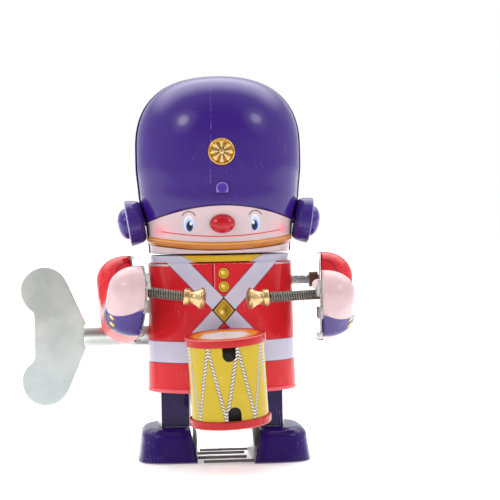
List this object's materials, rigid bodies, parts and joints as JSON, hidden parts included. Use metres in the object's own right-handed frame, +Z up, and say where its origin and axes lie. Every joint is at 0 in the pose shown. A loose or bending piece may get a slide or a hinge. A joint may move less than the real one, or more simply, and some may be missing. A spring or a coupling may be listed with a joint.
{
  "type": "wind-up drummer toy",
  "caption": "Wind-up tin toy soldier with a tall domed hat, a drum held in front, arms that drum with coil-spring sticks, stepping legs and a butterfly winding key.",
  "frame": {"origin": "on the floor, under the middle of the toy's bounding box; the toy's own upright axis is 14.2 mm to +X and 15.3 mm to +Y of it, because the key sticks out on one side and the drum in front", "axes": "+Z up, the toy faces -Y, and the key is on the -X side, which is the toy's own right"},
  "size_m": [0.1451, 0.0882, 0.165],
  "materials": {
    "red_lithographed_tin": "gloss",
    "purple_lithographed_tin": "gloss",
    "yellow_lithographed_tin": "gloss",
    "orange_lithographed_tin": "gloss",
    "red_rim_tin": "gloss",
    "bare_tin": "satin",
    "nickel_key": "satin",
    "shaft_steel": "satin",
    "gear_brass": "satin",
    "spring_steel": "satin",
    "brown_bush": "satin",
    "tip_brass": "satin"
  },
  "bodies": {
    "body": {"body_shell": "red_lithographed_tin", "top_plate": "bare_tin", "base_plate": "bare_tin", "head_front": "purple_lithographed_tin", "head_back": "purple_lithographed_tin", "head_bracket": "bare_tin", "right_ear_cup": "purple_lithographed_tin", "left_ear_cup": "purple_lithographed_tin", "right_ear_cap": "purple_lithographed_tin", "left_ear_cap": "purple_lithographed_tin", "drum_shell": "yellow_lithographed_tin", "drum_top": "orange_lithographed_tin", "drum_bottom": "red_rim_tin", "drum_bracket": "bare_tin", "right_frame_plate": "bare_tin", "left_frame_plate": "bare_tin", "frame_pillars": "shaft_steel", "hip_pins": "shaft_steel", "mainspring": "spring_steel"},
    "key": {"winding_key": "nickel_key", "key_arbor": "shaft_steel", "great_wheel": "gear_brass", "ratchet_wheel": "shaft_steel"},
    "second_shaft": {"second_axle": "shaft_steel", "second_pinion": "gear_brass", "second_wheel": "gear_brass", "arm_cams": "shaft_steel"},
    "crank_shaft": {"crank_axle": "shaft_steel", "crank_pinion": "gear_brass", "crank_discs": "shaft_steel"},
    "escape_shaft": {"escape_axle": "shaft_steel", "escape_pinion": "gear_brass", "escape_wheel": "gear_brass"},
    "verge": {"verge": "shaft_steel"},
    "right_arm": {"right_arm_shell": "red_lithographed_tin", "right_arm_plate": "bare_tin", "right_arm_axle": "shaft_steel", "right_arm_bush": "brown_bush", "right_arm_lever": "shaft_steel", "right_stick_spring": "spring_steel", "right_stick_tip": "tip_brass"},
    "left_arm": {"left_arm_shell": "red_lithographed_tin", "left_arm_plate": "bare_tin", "left_arm_axle": "shaft_steel", "left_arm_bush": "brown_bush", "left_arm_lever": "shaft_steel", "left_stick_spring": "spring_steel", "left_stick_tip": "tip_brass"},
    "right_leg": {"right_leg_channel": "purple_lithographed_tin", "right_foot_shell": "purple_lithographed_tin", "right_foot_plate": "bare_tin", "right_foot_wires": "shaft_steel"},
    "left_leg": {"left_leg_channel": "purple_lithographed_tin", "left_foot_shell": "purple_lithographed_tin", "left_foot_plate": "bare_tin", "left_foot_wires": "shaft_steel"}
  },
  "joints": [
    {"name": "key_turn", "type": "hinge", "parent": "body", "child": "key", "pos_m": [0.0142, 0.0253, 0.0536], "axis": [1, 0, 0], "continuous": true},
    {"name": "second_shaft_turn", "type": "hinge", "parent": "body", "child": "second_shaft", "pos_m": [0.0142, 0.01354, 0.04727], "axis": [1, 0, 0], "continuous": true},
    {"name": "crank_shaft_turn", "type": "hinge", "parent": "body", "child": "crank_shaft", "pos_m": [0.0142, 0.01524, 0.03543], "axis": [1, 0, 0], "continuous": true},
    {"name": "escape_shaft_turn", "type": "hinge", "parent": "body", "child": "escape_shaft", "pos_m": [0.0142, 0.00214, 0.04363], "axis": [1, 0, 0], "continuous": true},
    {"name": "verge_rock", "type": "hinge", "parent": "body", "child": "verge", "pos_m": [0.0142, 0.0018, 0.0525], "axis": [1, 0, 0], "range_deg": [-5, 5]},
    {"name": "right_arm_swing", "type": "hinge", "parent": "body", "child": "right_arm", "pos_m": [0.0142, 0.0153, 0.0765], "axis": [1, 0, 0], "range_deg": [-12, 12]},
    {"name": "left_arm_swing", "type": "hinge", "parent": "body", "child": "left_arm", "pos_m": [0.0142, 0.0153, 0.0765], "axis": [1, 0, 0], "range_deg": [-12, 12]},
    {"name": "right_leg_swing", "type": "hinge", "parent": "body", "child": "right_leg", "pos_m": [0.0142, 0.0243, 0.042], "axis": [1, 0, 0], "range_deg": [-6, 6]},
    {"name": "left_leg_swing", "type": "hinge", "parent": "body", "child": "left_leg", "pos_m": [0.0142, 0.0243, 0.042], "axis": [1, 0, 0], "range_deg": [-6, 6]}
  ],
  "couplings": [
    {"joint": "second_shaft_turn", "follows": "key_turn", "ratio": -2.8},
    {"joint": "crank_shaft_turn", "follows": "key_turn", "ratio": 6.72},
    {"joint": "escape_shaft_turn", "follows": "key_turn", "ratio": 6.72},
    {"joint": "left_arm_swing", "follows": "right_arm_swing", "ratio": -1},
    {"joint": "left_leg_swing", "follows": "right_leg_swing", "ratio": -1}
  ]
}
